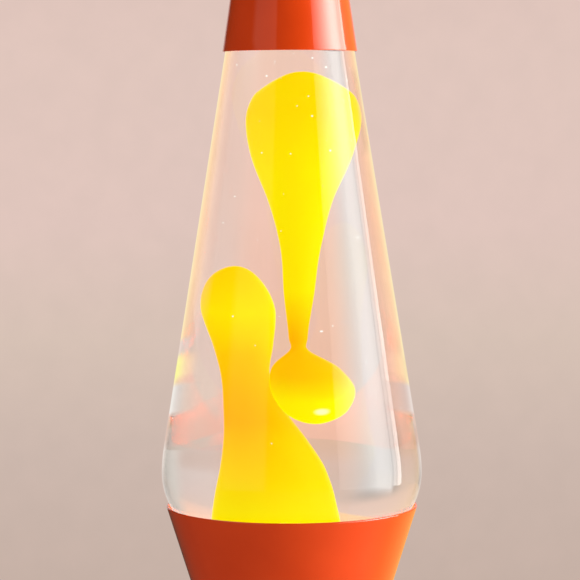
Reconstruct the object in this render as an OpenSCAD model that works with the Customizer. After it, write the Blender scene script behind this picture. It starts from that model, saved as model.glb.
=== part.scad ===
// Lava lamp. A tapered glass bottle of clear liquid and wax stands in a spun metal base that
// holds a reflector bulb, and a spun metal cap covers the bottle's closure.
// The origin is on the axis, on the surface that the lamp stands on. +Z is up, -Y is the front.

/* [Overall] */
// Height of the whole lamp
lamp_h = 430; // [424:1:436]
// Height of the cup's rim above the table
rim_z = 162.5; // [161.5:0.5:163.5]

/* [Base] */
// Outside radius of the cup at its rim
rim_r = 53.4; // [53:0.1:54]
// Taper of the cup from the vertical, in degrees
cup_taper = 17.6; // [17:0.1:18]
// Height of the joint between the cup and the foot
waist_z = 88; // [86:1:90]
// Outside radius of the foot at its lower edge
foot_r = 53.5; // [53:0.5:58]
// Thickness of the spun sheet
sheet_t = 1; // [0.8:0.1:1.1]

/* [Bottle] */
// Largest outside radius of the glass
bottle_r = 55; // [54.5:0.1:55]
// Thickness of the glass
glass_t = 3; // [2.5:0.1:3.4]
// Taper of the glass wall from the vertical, in degrees
wall_taper = 9.2; // [9.1:0.1:9.3]
// Outside radius of the neck
neck_r = 13; // [12:0.5:13.5]

/* [Cap] */
// Height of the top cap
cap_h = 76.5; // [75:0.5:78]
// Outside radius of the cap at its open edge
cap_lip_r = 28.3; // [28.1:0.1:28.6]
// Taper of the cap from the vertical, in degrees
cap_taper = 8.4; // [8:0.1:8.8]
// Thickness of the cap's sheet
cap_t = 0.7; // [0.5:0.1:0.7]

/* [Bulb] */
// Largest radius of the reflector bulb
bulb_r = 25; // [24:0.5:25]
// Length of the bulb from its contact to its dome
bulb_len = 85; // [84:0.5:86]
// Height of the bulb's end contact above the table
bulb_z = 44; // [43.5:0.5:44.5]

/* [Hidden] */
$fn = 96;
gap = 0.3;
fit = 0.1;
steel = "silver";
enamel = "orangered";
brass = "gold";

// Spun base
foot_edge_z = 2;
foot_slope = (foot_r - waist_r()) / (waist_z - sheet_t - foot_edge_z);
foot_taper = atan(foot_slope);
flange_r = 20;
waist_pcd_r = 25;
waist_screws_n = 3;

// Bottle, measured up from the cup's rim
belly_h = 14;
belly_arc = 30;
upper_arc = 60;
bottle_base_h = -15.5;
shoulder_h = 203;
shoulder_arc = 14;
neck_fillet = 6;
bottle_top_h = 238;
liquid_h = 207;
punt_r = 23;
punt_h = 2;

// Seat ring
seat_r = 26.5;
seat_t = 1;
seat_z = rim_z + bottle_base_h - seat_t;

// Base plate and what stands on it
plate_z = 6;
plate_t = 1.2;
plate_r = 50.7;
plate_top = plate_z + plate_t;
lug_at = [30, 150, 270];
lug_screw_r = 46;
rubber_at = [45, 135, 225, 315];
rubber_pcd_r = 40;
vent_at = [0, 60, 120, 180, 240, 300];
bracket_x = 22;
bracket_w = 16;
bracket_t = 1.2;
bracket_foot = 11;
holder_z = 36;
holder_h = 27.4;
holder_r = 13.5;
holder_floor = 4;
socket_r = 8;
nipple_r = 5;
nipple_bore = 3.5;

// Bulb, with an E14 cap
cap_shell_r = 6.95;
thread_pitch = 2.82;
bulb_neck_r = 9;
bulb_glass_t = 0.8;
bulb_top = bulb_z + bulb_len;
envelope_z = bulb_z + 22;

// Cord inlet in the foot's rear wall
inlet_h = 17;
inlet_bore = 3.2;
inlet_groove_r = 5;
inlet_flange_r = 7;

// Terminal block
block_size = [21, 14, 12];
block_y = 30;
way_pitch = 6.6;
way_z = plate_top + 5;
earth_x = 17;
earth_y = 13;
lead_r = 0.9;

// Wax: stations of [height above the rim, centre x, centre y, radius]
drop_stations = [
    [34.4, 8, -7, 0], [40, 8, -7, 10.8], [48.5, 7.2, -7, 14], [56.8, 4.8, -6, 11.6],
    [63.8, 2.7, -4.5, 4.2], [70, 2.3, -4, 3.1], [88, 2.6, -3, 4.9], [110, 3.2, -2, 6.9],
    [129, 3.2, -2, 10.9], [148, 3.8, -2, 16.9], [162, 4.7, -2, 19], [171, 4.7, -2, 16.7],
    [177, 4.2, -2, 11.4], [181.8, 4, -2, 0]
];
mound_stations = [
    [-12.3, -4, 1, 21.8], [-8, -4.4, 1.4, 22.2], [-3, -4.8, 3.6, 21.2], [3, -5.1, 6, 19.2],
    [14.5, -5.9, 8, 15.9], [27, -8.3, 9, 12.3], [38, -11.2, 10, 9.3], [53, -13.8, 10, 7.4],
    [66, -14.5, 9, 9.1], [79, -15.8, 8, 11.2], [92, -16.8, 8, 9], [97.5, -17, 8, 5.1],
    [101, -16.6, 8, 0]
];
wax_sides = 24;
wax_rings = 30;
coil_r = 31.5;
coil_h = -7.9;
coil_loop_r = 3.5;
coil_wire_r = 0.45;
coil_loops = 24;

// ---- Functions ----

function waist_r() = rim_r - tan(cup_taper) * (rim_z - waist_z);
function cup_outer(z) = rim_r - tan(cup_taper) * (rim_z - z);
function foot_outer(z) = foot_r - foot_slope * (z - foot_edge_z);
function cap_outer(z) = cap_lip_r - tan(cap_taper) * (z - (lamp_h - cap_h));

// Points of an arc in the half-plane, from angle a to angle b
function arc(centre, r, a, b, steps) =
    [for (i = [0:steps]) let (t = a + (b - a) * i / steps)
        [centre[0] + r * cos(t), centre[1] + r * sin(t)]];

// The bottle's side, from the floor to the mouth, moved inwards by inset
function belly_centre() = [bottle_r - belly_arc, rim_z + belly_h];
function upper_centre() = [bottle_r - upper_arc, rim_z + belly_h];
function shoulder_r() =
    upper_centre()[0] + upper_arc * cos(wall_taper)
    - tan(wall_taper) * (shoulder_h - belly_h - upper_arc * sin(wall_taper));
function shoulder_centre() = [
    shoulder_r() - shoulder_arc * cos(wall_taper),
    rim_z + shoulder_h - shoulder_arc * sin(wall_taper)
];
function turn_angle() =
    acos((neck_r + neck_fillet - shoulder_centre()[0]) / (shoulder_arc + neck_fillet));
function fillet_centre() =
    shoulder_centre() + (shoulder_arc + neck_fillet) * [cos(turn_angle()), sin(turn_angle())];
function floor_angle(inset) = asin((bottle_base_h + inset - belly_h) / (belly_arc - inset));
function bottle_side(inset) = concat(
    arc(belly_centre(), belly_arc - inset, floor_angle(inset), 0, 14),
    arc(upper_centre(), upper_arc - inset, 0, wall_taper, 3),
    arc(shoulder_centre(), shoulder_arc - inset, wall_taper, turn_angle(), 8),
    arc(fillet_centre(), neck_fillet + inset, 180 + turn_angle(), 180, 6)
);

// Smooth value between stations: column k of the stations at height h
function part_of(s, h, i = 0) = i >= len(s) - 2 || h < s[i + 1][0] ? i : part_of(s, h, i + 1);
function column(s, i, k) = k == 3 ? s[i][3] * s[i][3] : s[i][k];
function rise(s, i, k) =
    let (a = max(i - 1, 0), b = min(i + 1, len(s) - 1))
    (column(s, b, k) - column(s, a, k)) / (s[b][0] - s[a][0]);
function at(s, h, k) =
    let (i = part_of(s, h), d = s[i + 1][0] - s[i][0], t = (h - s[i][0]) / d,
         p = column(s, i, k), q = column(s, i + 1, k),
         m = rise(s, i, k) * d, n = rise(s, i + 1, k) * d)
    p * (2 * t * t * t - 3 * t * t + 1) + m * (t * t * t - 2 * t * t + t)
    + q * (3 * t * t - 2 * t * t * t) + n * (t * t * t - t * t);

// Heights of a wax body's rings, closer together at its round ends
function ring_h(s, i, count, a, b) =
    let (u = a + (b - a) * i / (count - 1)) 
    s[0][0] + (s[len(s) - 1][0] - s[0][0]) * (1 - cos(180 * u)) / 2;
function ring(s, h, grow, sides) =
    let (r = (sqrt(max(at(s, h, 3), 0.2)) + grow) / (grow > 0 ? cos(180 / sides) : 1))
    [for (j = [0:sides - 1]) let (a = 360 * j / sides)
        [at(s, h, 1) + r * cos(a), at(s, h, 2) + r * sin(a), rim_z + h]];

function unit(v) = v / norm(v);
function heading(path, i) = unit(path[min(i + 1, len(path) - 1)] - path[max(i - 1, 0)]);
function tube_ring(path, i, r, sides, up) =
    let (d = heading(path, i), u = unit(cross(d, up)), v = cross(u, d))
    [for (j = [0:sides - 1]) let (a = 360 * j / sides) path[i] + r * (cos(a) * u + sin(a) * v)];

// A route through hand-chosen points, rounded by a quadratic curve at each inner point
function midway(a, b, t) = a + (b - a) * t;
function rounded(p) = concat(
    [p[0]],
    [for (i = [1:len(p) - 2], t = [0:0.25:1])
        let (a = midway(p[i - 1], p[i], i == 1 ? 0.6 : 0.5),
             b = midway(p[i], p[i + 1], i == len(p) - 2 ? 0.4 : 0.5))
        if (t < 1 || i == len(p) - 2) midway(midway(a, p[i], t), midway(p[i], b, t), t)],
    [p[len(p) - 1]]
);

// ---- Shared shapes ----

// A closed body through rings of points that run upwards or along a route
module loft(rings) {
    count = len(rings);
    n = len(rings[0]);
    points = [for (r = rings, p = r) p];
    sides = [for (i = [0:count - 2], j = [0:n - 1])
        let (k = (j + 1) % n)
        each [[i * n + j, (i + 1) * n + j, (i + 1) * n + k],
              [i * n + j, (i + 1) * n + k, i * n + k]]];
    low = [for (j = [0:n - 1]) j];
    high = [for (j = [n - 1:-1:0]) (count - 1) * n + j];
    polyhedron(points, concat(sides, [low, high]), convexity = 8);
}

module wax_body(s, count, sides, grow = 0, from = 0.04, to = 0.97) {
    loft([for (i = [0:count - 1]) ring(s, ring_h(s, i, count, from, to), grow, sides)]);
}

module tube(path, r, sides = 8, up = [1, 0, 0]) {
    loft([for (i = [0:len(path) - 1]) tube_ring(path, i, r, sides, up)]);
}

module ring_of(n, r, start = 0) {
    for (i = [0:n - 1]) rotate(start + 360 * i / n) translate([r, 0, 0]) children();
}

module spread(angles, r) {
    for (a = angles) rotate(a) translate([r, 0, 0]) children();
}

// A pan-head screw: the head's underside is at z = 0 and the shank runs down
module pan_screw(shank_r, length, head_r, head_h) {
    difference() {
        union() {
            translate([0, 0, -length]) cylinder(r = shank_r, h = length + 0.1);
            cylinder(r = head_r, h = head_h * 0.6);
            translate([0, 0, head_h * 0.6]) cylinder(r1 = head_r, r2 = head_r * 0.7, h = head_h * 0.4);
        }
        for (a = [0, 90]) rotate(a) translate([-head_r * 0.5, -0.4, head_h * 0.45])
            cube([head_r, 0.8, head_h]);
    }
}

module hex_nut(r, bore, h) {
    difference() {
        cylinder(r = r, h = h, $fn = 6);
        translate([0, 0, -1]) cylinder(r = bore, h = h + 2);
    }
}

// ---- Cap and bottle ----

module top_cap() {
    lip_z = lamp_h - cap_h;
    wall = cap_t / cos(cap_taper);
    edge = 1.5;
    top_r = cap_outer(lamp_h - edge);
    color(enamel)
    rotate_extrude()
    polygon(concat(
        [[cap_outer(lip_z) - wall, lip_z], [cap_outer(lip_z), lip_z]],
        arc([top_r - edge, lamp_h - edge], edge, cap_taper, 90, 4),
        [[0, lamp_h], [0, lamp_h - cap_t], [top_r - edge, lamp_h - cap_t]],
        arc([top_r - edge, lamp_h - edge], edge - cap_t, 90, cap_taper, 3)
    ));
}

module bottle_closure() {
    top = rim_z + bottle_top_h + 1;
    skirt = 6;
    color(steel)
    rotate_extrude()
    polygon([
        [0, top], [0, top + 0.3], [12.6, top + 0.3], [14.2, top - 0.9], [15.6, top - skirt],
        [15.9, top - skirt], [15.9, top - skirt + 0.4], [14.6, top - 0.6], [12.9, top + 0.7],
        [0, top + 0.7]
    ]);
}

module closure_liner() {
    color("ivory")
    translate([0, 0, rim_z + bottle_top_h + fit]) cylinder(r = 12.3, h = 0.8);
}

module glass_bottle() {
    top = rim_z + bottle_top_h;
    base = rim_z + bottle_base_h;
    bead = top - 11;
    punt_arc = (punt_r * punt_r + punt_h * punt_h) / (2 * punt_h);
    punt_a = asin(punt_r / punt_arc);
    color("honeydew", 0.4)
    rotate_extrude()
    polygon(concat(
        arc([0, base + punt_h - punt_arc], punt_arc, 90, 90 - punt_a, 5),
        bottle_side(0),
        [
            [neck_r, bead], [neck_r + 1.2, bead + 1.5], [neck_r + 1.2, bead + 3.5],
            [neck_r, bead + 5], [neck_r, top - 4], [neck_r + 0.3, top - 3],
            [neck_r + 0.3, top - 1], [neck_r - 0.6, top], [neck_r - glass_t + 0.5, top],
            [neck_r - glass_t, top - 1]
        ],
        reverse_list(bottle_side(glass_t)),
        [[0, base + glass_t]]
    ));
}

function reverse_list(p) = [for (i = [len(p) - 1:-1:0]) p[i]];

// The liquid leaves room for the wax and for the coil's pocket on the bottle's floor
module liquid() {
    inset = glass_t + fit;
    pocket_r = 36.5;
    pocket_top = -2.2;
    wax_gap = 1.6;
    color("azure", 0.3)
    difference() {
        rotate_extrude()
        intersection() {
            polygon(concat(
                [[0, rim_z + bottle_base_h + inset]],
                bottle_side(inset),
                [[0, rim_z + bottle_top_h]]
            ));
            square([bottle_r, rim_z + liquid_h]);
        }
        translate([0, 0, rim_z - 30]) cylinder(r = pocket_r, h = 30 + pocket_top);
        wax_body(drop_stations, 22, 12, wax_gap, 0, 1);
        wax_body(mound_stations, 18, 12, wax_gap, 0, 1);
    }
}

module wax_mound() {
    color("gold") wax_body(mound_stations, wax_rings, wax_sides, 0, 0, 0.97);
}

module wax_drop() {
    color("yellow") wax_body(drop_stations, wax_rings, wax_sides);
}

// A wire wound into loops round a ring that lies on the bottle's floor
module wax_coil() {
    steps = coil_loops * 8;
    path = [for (i = [0:steps])
        let (around = 352 * i / steps, loop = 360 * coil_loops * i / steps,
             r = coil_r + coil_loop_r * cos(loop))
        [r * cos(around), r * sin(around), rim_z + coil_h + coil_loop_r * sin(loop)]];
    color(steel)
    loft([for (i = [0:steps])
        let (around = 352 * i / steps)
        tube_ring(path, i, coil_wire_r, 5, [cos(around), sin(around), 0.001])]);
}

// ---- Base shells ----

module base_cup() {
    wall = sheet_t / cos(cup_taper);
    top = rim_z - wall / 2;
    floor_z = waist_z + sheet_t;
    color(enamel)
    difference() {
        rotate_extrude()
        polygon(concat(
            [[flange_r, waist_z], [cup_outer(waist_z), waist_z]],
            arc([cup_outer(top) - wall / 2, top], wall / 2, 0, 180, 6),
            [[cup_outer(floor_z) - wall, floor_z], [flange_r, floor_z]]
        ));
        ring_of(waist_screws_n, waist_pcd_r, 90)
            translate([0, 0, waist_z - 1]) cylinder(r = 1.7, h = sheet_t + 2, $fn = 32);
    }
}

module base_foot() {
    wall = sheet_t / cos(foot_taper);
    top = waist_z - sheet_t;
    edge = foot_edge_z + wall / 2;
    color(enamel)
    difference() {
        rotate_extrude()
        polygon(concat(
            [[flange_r, waist_z], [foot_outer(waist_z), waist_z]],
            arc([foot_outer(edge) - wall / 2, edge], wall / 2, 0, -180, 6),
            [[foot_outer(top) - wall, top], [flange_r, top]]
        ));
        ring_of(waist_screws_n, waist_pcd_r, 90)
            translate([0, 0, top - 1]) cylinder(r = 1.7, h = sheet_t + 2, $fn = 32);
        at_inlet() translate([0, 0, -8]) cylinder(r = inlet_groove_r + fit, h = 16);
    }
}

// Puts its children at the middle of the foot's rear wall, +Z outwards
module at_inlet() {
    translate([0, foot_outer(inlet_h) - sheet_t / cos(foot_taper) / 2, inlet_h])
        rotate([-90 + foot_taper, 0, 0]) children();
}

module waist_screws() {
    color(steel)
    ring_of(waist_screws_n, waist_pcd_r, 90)
        translate([0, 0, waist_z + sheet_t]) pan_screw(1.5, 6, 2.8, 2);
}

module waist_nuts() {
    color(steel)
    ring_of(waist_screws_n, waist_pcd_r, 90)
        translate([0, 0, waist_z - sheet_t - 2.5]) hex_nut(3.1, 1.55, 2.4);
}

// A dished ring wedged in the cup: its flat carries the bottle and its skirt lies on the cup
module bottle_seat_ring() {
    wall = sheet_t / cos(cup_taper);
    side = seat_t / cos(cup_taper);
    low = seat_z - 9;
    color(steel)
    difference() {
        rotate_extrude()
        polygon([
            [seat_r, seat_z], [cup_outer(seat_z) - wall - 2 * fit - side, seat_z],
            [cup_outer(low) - wall - 2 * fit - side, low],
            [cup_outer(low) - wall - 2 * fit, low],
            [cup_outer(seat_z + seat_t) - wall - 2 * fit, seat_z + seat_t],
            [seat_r, seat_z + seat_t]
        ]);
        ring_of(8, 36, 22.5) translate([0, 0, seat_z - 1]) cylinder(r = 4, h = seat_t + 2);
    }
}

// ---- Base plate ----

module base_plate() {
    lug_hole_r = 2.2;
    rubber_hole_r = 2.6;
    vent_r = 1.8;
    vent_ring_r = 14;
    screw_hole_r = 1.85;
    color(steel)
    difference() {
        translate([0, 0, plate_z]) cylinder(r = plate_r, h = plate_t);
        translate([0, 0, plate_z - 1]) {
            spread(lug_at, lug_screw_r) cylinder(r = lug_hole_r, h = plate_t + 2);
            spread(rubber_at, rubber_pcd_r) cylinder(r = rubber_hole_r, h = plate_t + 2);
            spread(vent_at, vent_ring_r) cylinder(r = vent_r, h = plate_t + 2);
            for (x = [-1, 1]) translate([x * (bracket_x + bracket_foot / 2 + 1), 0, 0])
                cylinder(r = screw_hole_r, h = plate_t + 2);
            translate([earth_x, earth_y, 0]) cylinder(r = screw_hole_r, h = plate_t + 2);
        }
    }
}

module plate_lugs() {
    t = 1.5;
    w = 8;
    out = foot_outer(plate_top + t) - sheet_t / cos(foot_taper) - 0.35;
    color(steel)
    for (a = lug_at) rotate(a)
    difference() {
        union() {
            translate([out - 9, -w / 2, plate_top + fit]) cube([9, w, t]);
            translate([out, -w / 2, plate_top + fit]) rotate([0, -foot_taper, 0])
                translate([-t, 0, 0]) cube([t, w, 11]);
        }
        translate([lug_screw_r, 0, plate_top - 1]) cylinder(r = 2, h = 6);
        translate([out - 10, -w, plate_top + fit - 3]) cube([20, 2 * w, 3]);
    }
}

module plate_screws() {
    color(steel)
    spread(lug_at, lug_screw_r)
        translate([0, 0, plate_z]) rotate([180, 0, 0]) pan_screw(1.95, 5.5, 3.5, 2.4);
}

module rubber_feet() {
    barb = 3.3;
    color("dimgray")
    spread(rubber_at, rubber_pcd_r)
        rotate_extrude()
        polygon([
            [0, 0], [5.2, 0], [6, 0.8], [6.4, plate_z], [2.5, plate_z], [2.5, plate_top],
            [barb, plate_top], [2, plate_top + 2.5], [0, plate_top + 2.5]
        ]);
}

module cord_grommet() {
    groove = 1.2;
    flange = 2;
    color("dimgray")
    at_inlet()
    rotate_extrude()
    polygon([
        [inlet_bore, -groove - flange], [inlet_flange_r - 0.6, -groove - flange],
        [inlet_flange_r, -groove - flange + 0.6], [inlet_flange_r, -groove],
        [inlet_groove_r, -groove], [inlet_groove_r, groove], [inlet_flange_r, groove],
        [inlet_flange_r, groove + flange - 0.8], [inlet_flange_r - 1.4, groove + flange],
        [inlet_bore, groove + flange]
    ]);
}

// ---- Lampholder ----

module holder_bracket() {
    top = holder_z - bracket_t;
    color(steel)
    difference() {
        translate([0, bracket_w / 2, 0]) rotate([90, 0, 0])
        linear_extrude(bracket_w)
        polygon([
            [-bracket_x - bracket_foot, plate_top], [-bracket_x + bracket_t, plate_top],
            [-bracket_x + bracket_t, top], [bracket_x - bracket_t, top],
            [bracket_x - bracket_t, plate_top], [bracket_x + bracket_foot, plate_top],
            [bracket_x + bracket_foot, plate_top + bracket_t],
            [bracket_x, plate_top + bracket_t], [bracket_x, holder_z], [-bracket_x, holder_z],
            [-bracket_x, plate_top + bracket_t],
            [-bracket_x - bracket_foot, plate_top + bracket_t]
        ]);
        translate([0, 0, top - 1]) cylinder(r = nipple_r + fit, h = bracket_t + 2);
        for (x = [-1, 1]) translate([x * (bracket_x + bracket_foot / 2 + 1), 0, plate_top - 1])
            cylinder(r = 2.1, h = bracket_t + 2);
    }
}

module bracket_screws() {
    color(steel)
    for (x = [-1, 1])
        translate([x * (bracket_x + bracket_foot / 2 + 1), 0, plate_top + bracket_t])
        pan_screw(1.75, 5, 3.2, 2.2);
}

module holder_nipple() {
    color(steel)
    translate([0, 0, holder_z - 7])
    difference() {
        cylinder(r = nipple_r, h = 7 + holder_floor);
        translate([0, 0, -1]) cylinder(r = nipple_bore, h = 9 + holder_floor);
    }
}

module nipple_nut() {
    color(brass)
    translate([0, 0, holder_z - bracket_t - 3.1]) hex_nut(8.2, nipple_r + 0.05, 3);
}

module lampholder_body() {
    bore_z = holder_z + holder_floor;
    color("whitesmoke")
    rotate_extrude()
    polygon([
        [nipple_r + 0.05, holder_z], [holder_r - 1, holder_z], [holder_r, holder_z + 1],
        [holder_r, holder_z + 13], [holder_r - 1.5, holder_z + 14.5],
        [holder_r - 1.5, holder_z + holder_h - 3], [holder_r - 0.2, holder_z + holder_h - 2],
        [holder_r - 0.2, holder_z + holder_h - 0.6], [holder_r - 0.8, holder_z + holder_h],
        [socket_r + 0.6, holder_z + holder_h], [socket_r, holder_z + holder_h - 0.6],
        [socket_r, bore_z], [nipple_r + 0.05, bore_z]
    ]);
}

module lampholder_shell() {
    color(brass)
    translate([0, 0, holder_z + holder_floor + 7])
    difference() {
        cylinder(r = socket_r - fit, h = 15);
        translate([0, 0, -1]) cylinder(r = cap_shell_r + gap + 0.05, h = 17);
    }
}

module lampholder_contact() {
    base = holder_z + holder_floor + fit;
    color(brass)
    translate([0, 3, 0]) rotate([90, 0, 0])
    linear_extrude(6)
    polygon([
        [-6.5, base], [6.5, base], [6.5, base + 0.6], [-3, base + 0.6], [2.2, bulb_z - 1],
        [2.2, bulb_z - 0.35], [-0.5, bulb_z - 0.35], [-6.5, base + 1]
    ]);
}

// ---- Bulb ----

// The outline of the bulb's glass, moved inwards by inset. Its dome runs smoothly into its bulge
function bulb_side(inset) =
    let (bulge = 9, turn = 65, dome = bulge + (bulb_r - bulge) / cos(turn),
         bulge_z = bulb_top - dome + (bulb_r - bulge) * tan(turn))
    concat(
        [[0, envelope_z + inset], [bulb_neck_r - inset, envelope_z + inset],
         [bulb_neck_r - inset, envelope_z + 6]],
        arc([bulb_r - bulge, bulge_z], bulge - inset, -21, turn, 9),
        arc([0, bulb_top - dome], dome - inset, turn, 90, 5)
    );

module bulb_envelope() {
    color("aliceblue", 0.5)
    difference() {
        rotate_extrude() polygon(bulb_side(0));
        rotate_extrude() polygon(bulb_side(bulb_glass_t));
    }
}

module bulb_screw_cap() {
    base = bulb_z + 5;
    wall = 0.3;
    color(steel)
    rotate_extrude()
    polygon([
        [cap_shell_r - 1.6, base], [cap_shell_r, base + 1.2], [cap_shell_r, envelope_z - 2],
        [bulb_neck_r - 0.2, envelope_z - 0.1], [bulb_neck_r - 0.7, envelope_z - 0.1],
        [cap_shell_r - wall, envelope_z - 1.6], [cap_shell_r - wall, base + 1.4],
        [cap_shell_r - 1.8, base + 0.3]
    ]);
}

module bulb_insulator() {
    color("black")
    rotate_extrude()
    polygon([
        [0, bulb_z + 1.6], [3, bulb_z + 1.6], [cap_shell_r - 1.9, bulb_z + 4.8],
        [cap_shell_r - 1.9, bulb_z + 6], [0, bulb_z + 6]
    ]);
}

module bulb_contact() {
    color(steel)
    translate([0, 0, bulb_z]) cylinder(r1 = 1.8, r2 = 2.6, h = 1.5);
}

module bulb_stem() {
    color("aliceblue", 0.5)
    rotate_extrude()
    polygon([
        [0, envelope_z + 1], [6, envelope_z + 1], [3.2, envelope_z + 5],
        [2.4, envelope_z + 9], [2.4, envelope_z + 18], [1.2, envelope_z + 20],
        [0, envelope_z + 20]
    ]);
}

module bulb_support_wires() {
    low = envelope_z + 18.4;
    high = envelope_z + 34;
    color(steel)
    for (x = [-1, 1])
        tube([[x * 2.9, 0, low - 8], [x * 2.9, 0, low], [x * 5, 0, low + 4], [x * 9, 0, high]],
             0.35, 6, [0, 1, 0]);
}

module bulb_filament() {
    color("darkgray")
    translate([0, 0, envelope_z + 34.6])
    rotate_extrude(angle = 180) translate([9, 0]) circle(r = 0.25, $fn = 16);
}

// ---- Wiring inside the foot ----

module terminal_block() {
    color("ivory")
    difference() {
        translate([-block_size[0] / 2, block_y - block_size[1] / 2, plate_top + fit])
            cube(block_size);
        for (i = [-1, 0, 1]) translate([i * way_pitch, block_y, 0]) {
            translate([0, block_size[1], way_z]) rotate([90, 0, 0])
                cylinder(r = 2.3, h = 2 * block_size[1]);
            for (y = [-3.2, 3.2]) translate([0, y, way_z]) cylinder(r = 1.7, h = 12);
        }
    }
}

module terminal_inserts() {
    color(brass)
    for (i = [-1, 0, 1]) translate([i * way_pitch, block_y, way_z])
    difference() {
        rotate([90, 0, 0]) cylinder(r = 2.2, h = 12, center = true);
        rotate([90, 0, 0]) cylinder(r = 1.3, h = 14, center = true);
        for (y = [-3.2, 3.2]) translate([0, y, 0]) cylinder(r = 1.15, h = 4);
    }
}

module terminal_screws() {
    color(steel)
    for (i = [-1, 0, 1], y = [-3.2, 3.2])
        translate([i * way_pitch, block_y + y, way_z + 1.25]) cylinder(r = 1.1, h = 4.2);
}

// A lead from a way of the terminal block up to the lampholder's underside
module riser_lead(way, x) {
    y = block_y - 6;
    tube(rounded([
        [way * way_pitch, y + 3, way_z], [way * way_pitch, y - 6, way_z],
        [x, holder_r - 3, way_z + 6], [x, holder_r - 3, holder_z - 0.2]
    ]), lead_r);
}

module lead_live() {
    color("brown") riser_lead(-1, -5);
}

module lead_neutral() {
    color("blue") riser_lead(0, 3);
}

module lead_earth() {
    y = block_y - 6;
    color("green")
    tube(rounded([
        [way_pitch, y + 3, way_z], [way_pitch, y - 4, way_z],
        [earth_x - 6, earth_y + 3, plate_top + 2], [earth_x - 5, earth_y, plate_top + 1.85]
    ]), lead_r, 8, [0, 0, 1]);
}

module earth_tag() {
    color(brass)
    translate([earth_x, earth_y, plate_top + 0.05])
    difference() {
        union() {
            cylinder(r = 4, h = 0.8);
            translate([-8, -1.4, 0]) cube([7, 2.8, 0.8]);
        }
        translate([0, 0, -1]) cylinder(r = 1.9, h = 3);
    }
}

module earth_screw() {
    color(brass)
    translate([earth_x, earth_y, plate_top + 0.9]) pan_screw(1.75, 4.5, 3.4, 2.2);
}

top_cap();
bottle_closure();
closure_liner();
glass_bottle();
liquid();
wax_mound();
wax_drop();
wax_coil();
base_cup();
base_foot();
waist_screws();
waist_nuts();
bottle_seat_ring();
base_plate();
plate_lugs();
plate_screws();
rubber_feet();
cord_grommet();
holder_bracket();
bracket_screws();
holder_nipple();
nipple_nut();
lampholder_body();
lampholder_shell();
lampholder_contact();
bulb_screw_cap();
bulb_envelope();
bulb_insulator();
bulb_contact();
bulb_stem();
bulb_support_wires();
bulb_filament();
terminal_block();
terminal_inserts();
terminal_screws();
lead_live();
lead_neutral();
lead_earth();
earth_tag();
earth_screw();
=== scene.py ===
import random
from math import acos, asin, atan, cos, degrees, hypot, pi, radians, sin, sqrt, tan

import bmesh
import bpy
from mathutils import Matrix, Vector


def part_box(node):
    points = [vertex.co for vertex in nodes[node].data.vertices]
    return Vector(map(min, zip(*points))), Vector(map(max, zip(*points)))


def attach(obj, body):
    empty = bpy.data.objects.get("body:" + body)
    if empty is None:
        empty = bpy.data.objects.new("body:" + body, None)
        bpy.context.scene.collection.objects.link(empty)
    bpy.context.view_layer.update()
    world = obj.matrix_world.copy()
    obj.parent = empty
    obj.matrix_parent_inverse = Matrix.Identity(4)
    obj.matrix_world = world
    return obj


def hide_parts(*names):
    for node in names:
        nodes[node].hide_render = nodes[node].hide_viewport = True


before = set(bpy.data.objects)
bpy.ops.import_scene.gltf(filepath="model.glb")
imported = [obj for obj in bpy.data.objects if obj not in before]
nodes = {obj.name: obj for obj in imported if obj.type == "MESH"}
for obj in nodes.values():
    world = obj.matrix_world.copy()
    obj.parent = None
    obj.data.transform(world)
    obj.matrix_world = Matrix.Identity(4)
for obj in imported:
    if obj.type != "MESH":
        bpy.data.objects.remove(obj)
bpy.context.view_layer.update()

MM = 0.001
SHARP = 35  # degrees between two faces from which their edge is shaded sharp
ON_AXIS = 1e-7  # a radius below this is a point on the axis
scene = bpy.context.scene


def link_object(name, data):
    """A new object in the scene."""
    made = bpy.data.objects.new(name, data)
    scene.collection.objects.link(made)
    return made


def polar(r, a):
    """The point (x, y) at a distance from the axis and an angle in radians."""
    return r * cos(a), r * sin(a)


def circle(sides):
    """The angles of a ring's points."""
    return [2 * pi * j / sides for j in range(sides)]


# ---- Places taken from the frame ----

def extent(node):
    """A node's lowest height, its reach to the right and its highest height."""
    low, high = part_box(node)
    return low.z, high.x, high.z


CAP_LIP_Z, CAP_LIP_R, LAMP_TOP = extent("top_cap")
CLOSURE_LOW, _, CLOSURE_TOP = extent("bottle_closure")
BOTTLE_LOW, BOTTLE_R, BOTTLE_TOP = extent("glass_bottle")
LIQUID_TOP = extent("liquid")[2]
WAIST_Z, RIM_R, RIM_Z = extent("base_cup")
FOOT_EDGE_Z, FOOT_R, _ = extent("base_foot")
PLATE_LOW, _, PLATE_TOP = extent("base_plate")
HOLDER_LOW, _, HOLDER_TOP = extent("lampholder_body")
ENVELOPE_Z, BULB_R, BULB_TOP = extent("bulb_envelope")
SCREW_CAP_LOW = extent("bulb_screw_cap")[0]


# ---- Camera ----

def make_camera():
    """The camera that was fitted to the photograph: it looks along +Y, a little downwards."""
    data = bpy.data.cameras.new("camera")
    data.sensor_width = 36
    data.lens = 158.8
    data.clip_start = 0.05
    data.clip_end = 30
    camera = link_object("camera", data)
    aside, distance, above_rim = -0.0004, 1.0766, 0.1629
    tilt, roll = radians(86.175), radians(-0.25)
    camera.matrix_world = (
        Matrix.Translation((aside, -distance, RIM_Z + above_rim))
        @ Matrix.Rotation(tilt, 4, "X")
        @ Matrix.Rotation(roll, 4, "Z")
    )
    scene.camera = camera


make_camera()
scene.view_settings.view_transform = "Standard"
scene.cycles.caustics_reflective = False
scene.cycles.caustics_refractive = False
scene.cycles.max_bounces = 24
scene.cycles.transmission_bounces = 20
scene.cycles.transparent_max_bounces = 24
scene.cycles.glossy_bounces = 6


# ---- Node helpers ----

GLASS_IOR = 1.5
LIQUID_IOR = 1.33
MATERIALS = {}
tree = None  # the node tree that the helpers below add to


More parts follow.
